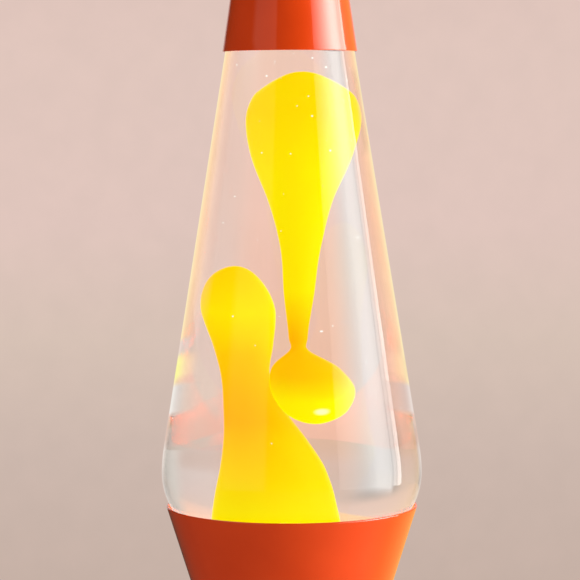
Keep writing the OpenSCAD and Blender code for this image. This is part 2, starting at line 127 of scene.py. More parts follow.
def add(kind, attrs=None, ins=None):
    """A shader node with its settings and its inputs: a constant, or a socket to link."""
    node = tree.nodes.new("ShaderNode" + kind)
    for name, value in (attrs or {}).items():
        setattr(node, name, value)
    for name, value in (ins or {}).items():
        if isinstance(value, bpy.types.NodeSocket):
            tree.links.new(value, node.inputs[name])
        else:
            node.inputs[name].default_value = value
    return node


def rgba(value):
    """A socket as it is, or a colour with its alpha. One number stands for a grey."""
    if isinstance(value, bpy.types.NodeSocket):
        return value
    return (*value, 1) if isinstance(value, tuple) else (value, value, value, 1)


def maths(operation, a, b=0):
    return add("Math", {"operation": operation}, {0: a, 1: b}).outputs[0]


def times(a, b):
    return maths("MULTIPLY", a, b)


def one_minus(value):
    return maths("SUBTRACT", 1, value)


def axes(place):
    return add("SeparateXYZ", ins={0: place}).outputs


def ramp(factor, stops):
    """A colour ramp. A stop is (position, red, green, blue), or (position, grey)."""
    node = add("ValToRGB", ins={0: factor})
    elements = node.color_ramp.elements
    elements.remove(elements[-1])
    elements[0].position = stops[0][0]
    for i, (position, *colour) in enumerate(stops):
        stop = elements.new(position) if i else elements[0]
        stop.color = (*(colour * 3)[:3], 1)
    return node.outputs[0]


def mix(factor, a, b, blend="MIX"):
    ins = {0: factor, 6: rgba(a), 7: rgba(b)}
    return add("Mix", {"data_type": "RGBA", "blend_type": blend}, ins).outputs[2]


def span(value, low, high, to_low=0, to_high=1, kind="LINEAR"):
    """The value's way from low to high, as a way from to_low to to_high."""
    ins = {0: value, 1: low, 2: high, 3: to_low, 4: to_high}
    return add("MapRange", {"interpolation_type": kind}, ins).outputs[0]


def smooth(value, low, high, most=1):
    """0 at low and most at high, with a smooth step between them."""
    return span(value, low, high, 0, most, "SMOOTHSTEP")


def rim_step(height, low, high):
    """A smooth step between two heights above the rim, in millimetres."""
    return smooth(height, RIM_Z + low * MM, RIM_Z + high * MM)


def rim_band(height, start, full, last, end):
    """1 from full to last, falling to 0 at start and end: millimetres above the rim."""
    return times(rim_step(height, start, full), rim_step(height, end, last))


def seen_angle():
    """0 where a surface is seen face on, and 1 where it is seen edge on."""
    return add("LayerWeight", ins={"Blend": 0.5}).outputs["Facing"]


def noise(where, scale, detail, stretch=(1, 1, 1)):
    place = add("Mapping", ins={"Vector": where, "Scale": stretch}).outputs[0]
    ins = {"Vector": place, "Scale": scale, "Detail": detail}
    return add("TexNoise", ins=ins).outputs[0]


def bump(height, distance):
    """The normal of a relief whose depth is given in millimetres."""
    return add("Bump", ins={"Distance": distance * MM, "Height": height}).outputs[0]


def principled(ins):
    return add("BsdfPrincipled", ins=ins).outputs[0]


def emission(colour, strength):
    return add("Emission", ins={"Color": rgba(colour), "Strength": strength}).outputs[0]


def transparent(colour):
    return add("BsdfTransparent", ins={"Color": rgba(colour)}).outputs[0]


def mix_shader(share, a, b):
    return add("MixShader", ins={0: share, 1: a, 2: b}).outputs[0]


def show(shader, kind="Material"):
    """Links a shader to the output of its tree."""
    output = tree.nodes.new("ShaderNodeOutput" + kind)
    tree.links.new(shader, output.inputs[0])


def start_tree(owner):
    """Empties the node tree of a material, a light or the world, for the helpers to fill."""
    global tree
    owner.use_nodes = True
    tree = owner.node_tree
    tree.nodes.clear()


def new_material(name):
    """Starts a new material's tree, and gives a place's object coordinates in it."""
    MATERIALS[name] = bpy.data.materials.new(name)
    start_tree(MATERIALS[name])
    return add("TexCoord").outputs["Object"]


def show_clear(shader, tint=1):
    """Shows a clear material, which lets shadow rays through to what is inside it."""
    shadow = add("LightPath").outputs["Is Shadow Ray"]
    show(mix_shader(shadow, shader, transparent(tint)))


def colourless(ior, waves, depth):
    """Clear glass or liquid with waves in its surface, their depth given in millimetres."""
    return principled({
        "Base Color": rgba(1), "Roughness": 0, "IOR": ior, "Transmission Weight": 1,
        "Normal": bump(waves, depth),
    })


# ---- Materials ----

def textured(name, dark, light, rough, metal, grain, relief, relief_grain=1500, coat=0):
    """A surface whose colour and roughness vary with one noise, and whose relief is another."""
    where = new_material(name)
    cloud = noise(where, grain, 4)
    show(principled({
        "Base Color": ramp(cloud, [(0.35, *dark), (0.65, *light)]),
        "Roughness": span(cloud, 0.3, 0.7, *rough), "Metallic": metal,
        "Normal": bump(noise(where, relief_grain, 3), relief),
        "Coat Weight": coat, "Coat Roughness": 0.03,
    }))


def enamel():
    """Glossy orange stove enamel over spun metal: faint orange peel and spinning rings."""
    where = new_material("orange_enamel")
    cloud = noise(where, 45, 4)
    peel = noise(where, 900, 2)
    rings = noise(where, 160, 3, (0.02, 0.02, 6))
    relief = maths("ADD", times(peel, 0.5), times(rings, 0.25))
    colour = ramp(cloud, [(0.3, 0.69, 0.052, 0.0005), (0.7, 0.75, 0.061, 0.0008)])
    show(principled({
        "Base Color": colour, "Roughness": span(cloud, 0.3, 0.7, 0.28, 0.34),
        "Normal": bump(relief, 0.012), "Coat Weight": 1, "Coat Roughness": 0.03,
        "Coat IOR": 1.62, "Coat Normal": bump(peel, 0.003), "Specular IOR Level": 0.2,
    }))


def bottle_glass(name, ior, glow=False):
    """Blown glass with slow waves in its surface. With glow, painted light shines at its edges."""
    where = new_material(name)
    shader = colourless(ior, noise(where, 28, 2, (1, 1, 0.6)), 0.1)
    if glow:
        shader = painted_edge_glow(where, shader)
    show_clear(shader, (0.99, 0.99, 0.985))


def painted_edge_glow(where, shader):
    """Paints on as emission the wax's light, led along the wall, which leaves it where it is seen
    edge on, and lower down painted warm and pale patches of light on the belly.
    """
    facing = seen_angle()
    sideways, _, height = axes(where)
    right = smooth(sideways, -12 * MM, 12 * MM)

    def by_angle(*stops):
        return ramp(facing, stops)

    share = by_angle((0.36, 0), (0.5, 0.34), (0.6, 0.68), (0.75, 0.96))
    late = by_angle((0.5, 0), (0.64, 0.6), (0.85, 0.95))
    share = mix(rim_step(height, 66, 108), late, share)
    # High on the right the drop fills the bottle, and only a narrow line glows
    narrow = times(rim_band(height, 146, 154, 178, 186), times(right, 0.9))
    share = mix(narrow, share, by_angle((0.58, 0), (0.7, 0.5), (0.85, 0.9)))
    colour = by_angle((0.45, 1, 0.56, 0.4), (0.72, 1, 0.68, 0.42), (0.9, 1, 0.84, 0.5))
    # What lies lower down is set by the height, lowered where the wall is seen face on
    bent = maths("SUBTRACT", height, times(one_minus(facing), 9 * MM))
    # A painted warm patch where the bulb's light first leaves the wall
    patch = rim_band(bent, 51, 55, 59, 65.5)
    patch_share = by_angle((0.42, 0), (0.5, 0.5), (0.7, 0.92))
    yellow = by_angle((0.45, 1, 0.68, 0.49), (0.62, 1, 0.77, 0.43), (0.8, 1, 0.97, 0.36))
    orange = by_angle((0.45, 1, 0.58, 0.44), (0.62, 1, 0.66, 0.4), (0.85, 0.98, 0.78, 0.45))
    # On the left a pale painted gap parts the patch from the painted glow above it
    gap = times(rim_band(bent, 61, 64, 68, 71), one_minus(right))
    colour = mix(gap, colour, (0.84, 0.69, 0.62))
    share = mix(patch, share, patch_share)
    colour = mix(patch, colour, mix(right, yellow, orange))
    # Under it a painted pale crescent, and a painted pale line down the belly
    above = rim_step(bent, 49, 52)
    middle = rim_step(bent, 36.5, 39.5)
    crescent = by_angle((0.34, 0), (0.5, 0.5), (0.65, 0.8), (0.85, 0.95))
    share = mix(above, mix(middle, by_angle((0.74, 0), (0.92, 0.75)), crescent), share)
    left_pale = by_angle(
        (0.5, 0.7, 0.62, 0.53), (0.68, 0.73, 0.66, 0.61), (0.85, 0.88, 0.84, 0.79))
    right_pale = by_angle(
        (0.5, 0.66, 0.5, 0.44), (0.68, 0.67, 0.53, 0.48), (0.85, 0.83, 0.72, 0.67))
    line = mix(rim_step(height, 24, 30), (0.84, 0.76, 0.7), (0.84, 0.6, 0.49))
    pale = mix(middle, line, mix(right, left_pale, right_pale))
    return mix_shader(share, shader, emission(mix(above, pale, colour), 1.02))


def liquid_top():
    where = new_material("liquid_top")
    show_clear(colourless(LIQUID_IOR, noise(where, 60, 2), 0.02))


def liquid_side():
    """The liquid's side lies on the glass, whose wetted face already bends the light."""
    where = new_material("liquid_side")
    haze = span(noise(where, 40, 2), 0.3, 0.7, 0.985, 1)
    haze = add("CombineColor", ins={0: haze, 1: haze, 2: haze}).outputs[0]
    # Painted grey shade: below 36 mm above the rim the side lets less light through, red least,
    # fully below 14 mm
    level = rim_step(axes(where)[2], 14, 36)
    shade = mix(level, (0.89, 0.925, 0.935), 1)
    show(transparent(mix(1, haze, shade, "MULTIPLY")))


def bubble():
    where = new_material("bubble")
    cloud = noise(where, 900, 2)
    shader = principled({
        "Base Color": rgba(1), "Roughness": span(cloud, 0.3, 0.7, 0, 0.06),
        "IOR": 1.12, "Transmission Weight": 1,
    })
    # A painted glint: white emission where a bubble is seen face on
    facing = seen_angle()
    glint = emission((1, 0.93, 0.86), 1.1)
    show_clear(mix_shader(span(facing, 0.85, 0.4), shader, glint))


def wax(name, strength, greens, hot=None):
    """Wax with painted glow: its emission stands for the bulb's light scattered in it. greens
    gives how green that painted light is at heights in millimetres above the rim, with red at 1
    and no blue, and hot is the place of a painted glint of the bulb."""
    where = new_material(name)
    low, high = greens[0][0], greens[-1][0]
    # Painted light: the glow's colour by height stands for how the bulb's light reaches each part
    level = span(axes(where)[2], RIM_Z + low * MM, RIM_Z + high * MM)
    glow = ramp(level, [((h - low) / (high - low), 1, green, 0) for h, green in greens])
    cloud = noise(where, 70, 4, (1, 1, 0.5))
    mottle = ramp(cloud, [(0.3, 1, 1.03, 1), (0.7, 1, 0.97, 1)])
    glow = mix(1, glow, mottle, "MULTIPLY")
    # A painted highlight: a pale spot in the emission where the bulb would glint in the wax
    if hot:
        flatness = 1.7
        flat = add("Mapping", ins={"Vector": where, "Scale": (1, 1, flatness)}).outputs[0]
        centre = (hot[0], hot[1], hot[2] * flatness)
        reach = add("VectorMath", {"operation": "DISTANCE"}, {0: flat, 1: centre})
        near = smooth(reach.outputs["Value"], 3.6 * MM, 1.4 * MM, 0.85)
        glow = mix(near, glow, (1, 1, 0.6))
    show(principled({
        "Base Color": (0.22, 0.15, 0.0005, 1), "Roughness": 0.12, "IOR": 1.05,
        "Normal": bump(cloud, 0.05), "Emission Color": glow, "Emission Strength": strength,
    }))


def bulb_glass():
    """A reflector bulb: silvered inside up to its bulge, frosted above, and lit."""
    where = new_material("bulb_glass")
    edge = BULB_TOP - 19 * MM
    dome = smooth(axes(where)[2], edge, edge + 1.5 * MM)
    mottle = noise(where, 500, 4)
    show(principled({
        "Base Color": mix(dome, (0.86, 0.86, 0.87), (0.95, 0.93, 0.9)),
        "Metallic": one_minus(dome),
        "Roughness": maths("ADD", times(dome, 0.3), times(mottle, 0.16)),
        "Emission Color": mix(dome, 0, (1, 0.66, 0.34)),
        "Emission Strength": 2.5, "Coat Weight": 0.6, "Coat Roughness": 0.05,
    }))


def earth_lead():
    """Green insulation with one yellow stripe along each side."""
    where = new_material("lead_green")
    uv = add("UVMap", {"uv_map": "along"}).outputs[0]
    wave = maths("SINE", times(axes(uv)[0], 4 * pi))
    stripe = maths("GREATER_THAN", wave, 0.2)
    cloud = noise(where, 500, 3)
    show(principled({
        "Base Color": mix(stripe, (0.02, 0.22, 0.03), (0.8, 0.62, 0.02)),
        "Roughness": span(cloud, 0.3, 0.7, 0.3, 0.42), "Normal": bump(cloud, 0.015),
    }))


enamel()
bottle_glass("glass_outer", GLASS_IOR, glow=True)
bottle_glass("glass_wet", GLASS_IOR / LIQUID_IOR)
liquid_top()
liquid_side()
bubble()
wax("wax_drop", 1.04, [
    (34, 0.88), (45, 0.81), (55, 0.53), (70, 0.44), (90, 0.76), (140, 0.79), (165, 0.68),
    (182, 0.7),
], hot=(10.4 * MM, -17 * MM, RIM_Z + 41 * MM))
wax("wax_mound", 1.14, [
    (-13, 0.82), (2, 0.78), (18, 0.57), (34, 0.42), (62, 0.52), (80, 0.71), (101, 0.57),
])
bulb_glass()
earth_lead()
for look in (
    # name, dark, light, roughness, metal, grain, relief and, where they differ, its grain and coat
    ("tinned_steel", (0.62, 0.6, 0.56), (0.75, 0.74, 0.7), (0.22, 0.34), 1, 220, 0.01, 1800),
    ("liner", (0.78, 0.76, 0.68), (0.86, 0.84, 0.77), (0.5, 0.6), 0, 260, 0.03),
    ("coil_wire", (0.5, 0.47, 0.42), (0.66, 0.62, 0.56), (0.2, 0.36), 1, 500, 0.01),
    ("plated_steel", (0.5, 0.51, 0.5), (0.68, 0.69, 0.68), (0.26, 0.42), 1, 140, 0.015, 1200),
    ("screw_steel", (0.56, 0.57, 0.56), (0.74, 0.75, 0.74), (0.2, 0.36), 1, 600, 0.01),
    ("black_rubber", (0.012, 0.012, 0.013), (0.028,), (0.55, 0.75), 0, 350, 0.04, 2500),
    ("brass_parts", (0.62, 0.42, 0.15), (0.8, 0.58, 0.25), (0.22, 0.4), 1, 300, 0.012),
    ("porcelain", (0.8, 0.79, 0.75), (0.88, 0.87, 0.84), (0.18, 0.26), 0, 180, 0.02, 500, 0.7),
    ("bulb_cap_metal", (0.66, 0.6, 0.5), (0.78, 0.74, 0.66), (0.22, 0.36), 1, 350, 0.01),
    ("bulb_insulation", (0.01, 0.01, 0.014), (0.035, 0.033, 0.04), (0.12, 0.25), 0, 500, 0.01),
    ("tungsten", (0.3, 0.28, 0.26), (0.45, 0.42, 0.38), (0.35, 0.5), 1, 800, 0.01),
    ("nylon", (0.74, 0.72, 0.64), (0.84, 0.82, 0.75), (0.35, 0.5), 0, 320, 0.02),
    ("lead_brown", (0.1, 0.035, 0.012), (0.16, 0.06, 0.02), (0.3, 0.42), 0, 400, 0.015),
    ("lead_blue", (0.01, 0.08, 0.34), (0.02, 0.13, 0.48), (0.3, 0.42), 0, 400, 0.015),
):
    textured(*look)


# ---- Mesh helpers ----

def make_object(
    name, points, faces, body, slot, replaced, sharp=SHARP, materials=None, uvs=None,
):
    """A piece from its points and faces, shaded smooth except at edges sharper than sharp. Its
    material is its slot's, unless materials names others."""
    mesh = bpy.data.meshes.new(name)
    mesh.from_pydata([tuple(p) for p in points], [], faces)
    for material in materials or [slot]:
        mesh.materials.append(MATERIALS[material])
    if uvs:
        layer = mesh.uv_layers.new(name="along")
        for loop in mesh.loops:
            layer.data[loop.index].uv = uvs[loop.vertex_index]
    finish_mesh(mesh, sharp)
    piece = link_object(name, mesh)
    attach(piece, body)
    if replaced:
        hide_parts(*replaced)
    return piece


def finish_mesh(mesh, sharp):
    """Turns the normals outwards, and sets which edges are shaded sharp."""
    mesh.validate()
    work = bmesh.new()
    work.from_mesh(mesh)
    bmesh.ops.recalc_face_normals(work, faces=work.faces)
    work.to_mesh(mesh)
    work.free()
    mesh.polygons.foreach_set("use_smooth", [True] * len(mesh.polygons))
    mesh.set_sharp_from_angle(angle=radians(sharp))
    mesh.update()


def arc(centre_r, centre_z, radius, start, end, steps):
    """Points (r, z) of an arc in a lathe's outline, with its angles in degrees."""
    angles = (radians(start + (end - start) * i / steps) for i in range(steps + 1))
    return [(centre_r + r, centre_z + z) for r, z in (polar(radius, a) for a in angles)]


def lathe_mesh(outline, sides, wave=None):
    """Points and faces of a closed outline of (r, z) spun round the axis, with the outline's
    point that each face starts from. wave moves a point outwards by its angle, r and z."""
    points, rings = [], []
    for r, z in outline:
        if r < ON_AXIS:
            rings.append([len(points)])
            points.append((0, 0, z))
            continue
        rings.append(range(len(points), len(points) + sides))
        points += [(*polar(r + (wave(a, r, z) if wave else 0), a), z) for a in circle(sides)]
    faces, made_from = [], []
    for i, ring in enumerate(rings):
        upper = rings[(i + 1) % len(rings)]
        if len(ring) == 1 and len(upper) == 1:
            continue
        for j in range(sides):
            k = (j + 1) % sides
            if len(ring) == 1:
                faces.append((ring[0], upper[k], upper[j]))
            elif len(upper) == 1:
                faces.append((ring[j], ring[k], upper[0]))
            else:
                faces.append((ring[j], ring[k], upper[k], upper[j]))
            made_from.append(i)
    return points, faces, made_from


def lathe(name, outline, body, slot, replaced, sides, sharp=SHARP, wave=None):
    points, faces, _ = lathe_mesh(outline, sides, wave)
    return make_object(name, points, faces, body, slot, replaced, sharp)


def even(a, b, count):
    """Evenly spaced points from a to b, without b."""
    return [tuple(p + (q - p) * i / count for p, q in zip(a, b)) for i in range(count)]


def in_mm(points):
    """Points given in millimetres, in metres."""
    return [tuple(v * MM for v in point) for point in points]


def loft(rings):
    """Points and faces through rings of points, with a cap at each end."""
    sides = len(rings[0])
    points = [p for ring in rings for p in ring]
    faces = []
    for i in range(len(rings) - 1):
        low, high = i * sides, (i + 1) * sides
        for j in range(sides):
            k = (j + 1) % sides
            faces.append((low + j, low + k, high + k, high + j))
    for at, turn in ((0, -1), (len(rings) - 1, 1)):
        points.append(sum((Vector(p) for p in rings[at]), Vector()) / sides)
        for j in range(sides):
            faces.append((at * sides + j, at * sides + (j + 1) % sides, len(points) - 1)[::turn])
    return points, faces


def tube(path, radius, sides, up=Vector((1, 0, 0))):
    """Rings of points round a path. up is the side from which each ring's points start."""
    rings = []
    count = len(path)
    for i, p in enumerate(path):
        along = (path[min(i + 1, count - 1)] - path[max(i - 1, 0)]).normalized()
        side = along.cross(up(i) if callable(up) else up).normalized()
        other = side.cross(along)
        rings.append([
            p + radius * (cos(a) * side + sin(a) * other) for a in circle(sides)])
    return rings


def cut_with(piece, cutters):
    """Takes round cutters, given as (place, turn, radius, depth), out of a piece."""
    for place, turn, radius, depth in cutters:
        mesh = bpy.data.meshes.new("cutter")
        work = bmesh.new()
        bmesh.ops.create_cone(
            work, cap_ends=True, segments=64, radius1=radius, radius2=radius, depth=depth,
            matrix=Matrix.Translation(place) @ turn.to_4x4(),
        )
        work.to_mesh(mesh)
        work.free()
        cutter = link_object("cutter", mesh)
        modifier = piece.modifiers.new("cut", "BOOLEAN")
        modifier.object = cutter
        modifier.solver = "EXACT"
        evaluated = piece.evaluated_get(bpy.context.evaluated_depsgraph_get())
        result = bpy.data.meshes.new_from_object(evaluated)
        piece.modifiers.clear()
        piece.data = result
        bpy.data.objects.remove(cutter)
    piece.data.set_sharp_from_angle(angle=radians(SHARP))


# ---- Cap ----

CAP_TAPER = 8.4
CAP_T = 0.7 * MM
CAP_EDGE = 1.5 * MM


def make_cap():
    slope = tan(radians(CAP_TAPER))
    wall = CAP_T / cos(radians(CAP_TAPER))
    shoulder_z = LAMP_TOP - CAP_EDGE
    top_r = CAP_LIP_R - slope * (shoulder_z - CAP_LIP_Z)
    lip = wall / 2
    outline = (
        arc(CAP_LIP_R - lip, CAP_LIP_Z + lip, lip, -180, 0, 8)
        + even((CAP_LIP_R, CAP_LIP_Z + lip), (top_r, shoulder_z), 24)[1:]
        + arc(top_r - CAP_EDGE, shoulder_z, CAP_EDGE, CAP_TAPER, 90, 8)
        + [(0, LAMP_TOP), (0, LAMP_TOP - CAP_T)]
        + arc(top_r - CAP_EDGE, shoulder_z, CAP_EDGE - CAP_T, 90, CAP_TAPER, 6)
    )
    lathe("cap", outline, "cap", "orange_enamel", ["top_cap"], 192)


# ---- Bottle ----

GLASS_T = 3 * MM
WALL_TAPER = 9.2
BELLY_H = 14 * MM
BELLY_ARC = 30 * MM
UPPER_ARC = 60 * MM
BASE_H = BOTTLE_LOW - RIM_Z
SHOULDER_H = 203 * MM
SHOULDER_ARC = 14 * MM
NECK_R = 13 * MM
NECK_FILLET = 6 * MM
PUNT_R = 23 * MM
PUNT_H = 2 * MM
LIQUID_H = LIQUID_TOP - RIM_Z


def bottle_side(inset):
    """The bottle's outline from its floor to its mouth, moved inwards by inset."""
    taper = radians(WALL_TAPER)
    belly = (BOTTLE_R - BELLY_ARC, RIM_Z + BELLY_H)
    upper = (BOTTLE_R - UPPER_ARC, RIM_Z + BELLY_H)
    shoulder_r = (
        upper[0] + UPPER_ARC * cos(taper)
        - tan(taper) * (SHOULDER_H - BELLY_H - UPPER_ARC * sin(taper))
    )
    shoulder = (
        shoulder_r - SHOULDER_ARC * cos(taper),
        RIM_Z + SHOULDER_H - SHOULDER_ARC * sin(taper),
    )
    between = SHOULDER_ARC + NECK_FILLET
    turn = acos((NECK_R + NECK_FILLET - shoulder[0]) / between)
    fillet = (NECK_R + NECK_FILLET, shoulder[1] + between * sin(turn))
    turn = degrees(turn)
    floor = degrees(asin((BASE_H + inset - BELLY_H) / (BELLY_ARC - inset)))
    lower = arc(*belly, BELLY_ARC - inset, floor, 0, 24)
    middle = arc(*upper, UPPER_ARC - inset, 0, WALL_TAPER, 8)
    high = arc(*shoulder, SHOULDER_ARC - inset, WALL_TAPER, turn, 14)
    neck = arc(*fillet, NECK_FILLET + inset, 180 + turn, 180, 10)
    return lower + middle[1:] + even(middle[-1], high[0], 40)[1:] + high + neck[1:]


def make_bottle():
    """The glass, with a bead at its mouth and a punt in its floor."""
    top, base = BOTTLE_TOP, BOTTLE_LOW
    bead_z = top - 8.5 * MM
    bead = arc(NECK_R - 0.9 * MM, bead_z, 2.4 * MM, -68, 68, 12)
    lip = arc(NECK_R - 0.6 * MM, top - 0.9 * MM, 0.9 * MM, 0, 90, 6)
    inner_lip = arc(NECK_R - GLASS_T + 0.8 * MM, top - 0.8 * MM, 0.8 * MM, 90, 180, 6)
    punt_arc = (PUNT_R ** 2 + PUNT_H ** 2) / (2 * PUNT_H)
    punt_angle = degrees(asin(PUNT_R / punt_arc))
    punt = arc(0, base + PUNT_H - punt_arc, punt_arc, 90, 90 - punt_angle, 10)
    punt[0] = (0, punt[0][1])
    inner = bottle_side(GLASS_T)[::-1]
    outline = (
        punt + bottle_side(0) + bead + [(NECK_R + 0.05 * MM, top - 4 * MM)] + lip + inner_lip
        + inner + [(0, base + GLASS_T)]
    )
    points, faces, made_from = lathe_mesh(outline, 224)
    piece = make_object(
        "bottle", points, faces, "bottle", "bottle_glass", ["glass_bottle"], 50,
        ["glass_outer", "glass_wet"])
    inner_start = len(outline) - len(inner) - 1
    for face in piece.data.polygons:
        inside = made_from[face.index] >= inner_start
        face.material_index = 1 if inside and face.center.z < LIQUID_TOP else 0


def make_liquid():
    """The liquid, just inside the glass, with a meniscus at its top."""
    inset, level = GLASS_T + 0.1 * MM, LIQUID_TOP
    side = [p for p in bottle_side(inset) if p[1] < level - 1.2 * MM]
    edge_r = side[-1][0] - 0.35 * MM
    meniscus = [
        (edge_r, level), (edge_r - 0.5 * MM, level - 0.55 * MM),
        (edge_r - 1.6 * MM, level - 0.95 * MM), (0, level - 1 * MM)]
    outline = [(0, BOTTLE_LOW + inset)] + side + meniscus
    points, faces, made_from = lathe_mesh(outline, 160)
    piece = make_object(
        "liquid_body", points, faces, "bottle", "clear_liquid", ["liquid"], 60,
        ["liquid_side", "liquid_top"])
    for face in piece.data.polygons:
        face.material_index = 1 if made_from[face.index] >= len(side) + 1 else 0


def meets_wax(x, y, h, size):
    """Whether a bubble would touch the mound, or the drop anywhere on its way up."""
    clearance, mound_steps, drop_steps = 0.4 * MM, 1, 12
    for rows, steps in ((MOUND, mound_steps), (DROP, drop_steps)):
        for level in (h - i * MM for i in range(steps)):
            if rows[0][0] <= level <= rows[-1][0]:
                wax_x, wax_y, r = at_height(rows, level)
                if hypot(x - wax_x, y - wax_y) < r + size + clearance:
                    return True
    return False


def make_bubbles():
    """Tiny bubbles that cling to the glass, most of them high up."""
    drawn = 150
    random.seed(7)
    inner = bottle_side(GLASS_T + 0.5 * MM)
    points, faces = [], []
    for _ in range(drawn):
        h = LIQUID_H - 4 * MM - (LIQUID_H - 30 * MM) * random.random() ** 2.2
        z = RIM_Z + h
        wall = min(inner, key=lambda p: abs(p[1] - z))[0]
        depth = random.random() ** 2 * 4 * MM
        a = random.random() * 2 * pi
        size = (0.15 + 0.33 * random.random() ** 2.5) * MM
        r = wall - depth - size - 0.1 * MM
        x, y = polar(r, a)
        if meets_wax(x, y, h, size):
            continue
        work = bmesh.new()
        bmesh.ops.create_icosphere(
            work, subdivisions=2, radius=size, matrix=Matrix.Translation((x, y, z)))
        start = len(points)
        points += [v.co.copy() for v in work.verts]
        faces += [tuple(start + v.index for v in f.verts) for f in work.faces]
        work.free()
    make_object("bubbles", points, faces, "bottle", "clear_liquid", [], 180, ["bubble"])


def make_closure():
    """A crown closure: a thin dished cap whose skirt is crimped into flutes."""
    low, top = CLOSURE_LOW / MM, CLOSURE_TOP / MM
    flutes, sides_per_flute = 21, 14
    crown_r, edge, sheet = 12.4, 2.2, 0.3
    flute_depth = 0.45 * MM

    def crimp(a, r, z):
        skirt_top = top - 1.6
        depth = max(0, min(1, (skirt_top - z / MM) / (skirt_top - low)))
        return -flute_depth * depth * (1 - cos(flutes * a))

    outline = (
        [(0, top)] + even((3, top), (crown_r, top), 3)
        + arc(crown_r, top - edge, edge, 90, 18, 8)
        + even((14.55, top - 1.8), (15.9, low), 8)[1:] + [(15.9, low), (15.62, low)]
        + even((15.55, low + 0.3), (14.25, top - 1.9), 7)
        + arc(crown_r, top - edge, edge - sheet, 18, 90, 8) + [(0, top - sheet)]
    )
    lathe(
        "crown_closure", in_mm(outline), "bottle", "tinned_steel", ["bottle_closure"],
        flutes * sides_per_flute, 50, crimp)


# ---- Wax ----

# Stations of a wax body: (height above the rim, centre x, centre y, radius)
DROP = in_mm([
    (34.4, 8, -7, 0), (40, 8, -7, 10.8), (48.5, 7.2, -7, 14), (56.8, 4.8, -6, 11.6),
    (63.8, 2.7, -4.5, 4.2), (70, 2.3, -4, 3.1), (88, 2.6, -3, 4.9), (110, 3.2, -2, 6.9),
    (129, 3.2, -2, 10.9), (148, 3.8, -2, 16.9), (162, 4.7, -2, 19), (171, 4.7, -2, 16.7),
    (176.1, 4.3, -2, 11.6), (178.5, 4.1, -2, 8.3), (181.5, 4, -2, 0),
])
MOUND = in_mm([
    (-12.3, -4, 1, 21.8), (-8, -4.4, 1.4, 22.2), (-3, -4.8, 3.6, 21.2), (3, -5.1, 6, 19.2),
    (14.5, -5.9, 8, 15.9), (27, -8.3, 9, 12.3), (38, -11.2, 10, 9.3), (53, -13.8, 10, 7.4),
    (66, -14.5, 9, 9.1), (79, -15.8, 8, 11.2), (84.5, -16.3, 8, 10.85), (90, -16.75, 8, 9.4),
    (95, -17, 8, 6.8), (99.3, -16.8, 8, 0),
])


def at_height(rows, h):
    """(x, y, radius) of a wax body at a height, smooth between its stations. What is smoothed
    is the radius squared, so that its ends come out round."""
    i = 0
    while i < len(rows) - 2 and h >= rows[i + 1][0]:
        i += 1
    step = rows[i + 1][0] - rows[i][0]
    t = (h - rows[i][0]) / step

    def column(n, k):
        return rows[n][3] ** 2 if k == 3 else rows[n][k]

    def rise(n, k):
        a, b = max(n - 1, 0), min(n + 1, len(rows) - 1)
        return (column(b, k) - column(a, k)) / (rows[b][0] - rows[a][0])

    x, y, squared = (
        column(i, k) * (2 * t ** 3 - 3 * t ** 2 + 1)
        + rise(i, k) * step * (t ** 3 - 2 * t ** 2 + t)
        + column(i + 1, k) * (3 * t ** 2 - 2 * t ** 3)
        + rise(i + 1, k) * step * (t ** 3 - t ** 2)
        for k in (1, 2, 3))
    return x, y, sqrt(max(squared, 1e-10))


def make_wax(name, rows, flat_foot, body, node):
    """A wax body lofted through its stations, with its rings closer together at a round end."""
    count, sides, tip = 160, 96, 0.0004
    start = 0.35 if flat_foot else 0

    def eased(u):
        return (1 - cos(pi * u)) / 2

    rings = []
    for i in range(count):
        u = eased(start + (1 - start) * i / (count - 1))
        u = (u - eased(start)) / (1 - eased(start))
        u = min(max(u, 0 if flat_foot else tip), 1 - tip)
        h = rows[0][0] + (rows[-1][0] - rows[0][0]) * u
        x, y, r = at_height(rows, h)
        ring = (polar(r, a) for a in circle(sides))
        rings.append([(x + dx, y + dy, RIM_Z + h) for dx, dy in ring])
    points, faces = loft(rings)
    make_object(name, points, faces, body, "wax", [node], 60, [node])


def make_coil():
    """The coiled wire that lies round the bottle's floor."""
    loops, per_loop = 24, 24
    coil_r, loop_r, wire_r = 31.5 * MM, 3.5 * MM, 0.45 * MM
    z = RIM_Z - 7.9 * MM
    sweep = radians(352)
    path, forwards = [], []
    for i in range(loops * per_loop + 1):
        around = sweep * i / (loops * per_loop)
        dr, dz = polar(loop_r, 2 * pi * i / per_loop)
        path.append(Vector((*polar(coil_r + dr, around), z + dz)))
        forwards.append(Vector((-sin(around), cos(around), 0)))
    points, faces = loft(tube(path, wire_r, 8, up=lambda i: forwards[i]))
    make_object("coil", points, faces, "bottle", "coil_wire", ["wax_coil"], 60)


# ---- Base ----

SHEET_T = 1 * MM
CUP_TAPER = 17.6
CUP_SLOPE = tan(radians(CUP_TAPER))
WAIST_R = RIM_R - CUP_SLOPE * (RIM_Z - WAIST_Z)
WAIST_BEND = 1.2 * MM
FLANGE_R = 20 * MM
HOLE_RING_R, HOLE_R, HOLE_DEPTH = 25 * MM, 1.7 * MM, 6 * MM
WAIST_HOLES = [
    (Vector((*polar(HOLE_RING_R, radians(a)), WAIST_Z)), Matrix.Identity(3), HOLE_R, HOLE_DEPTH)
    for a in (90, 210, 330)
]


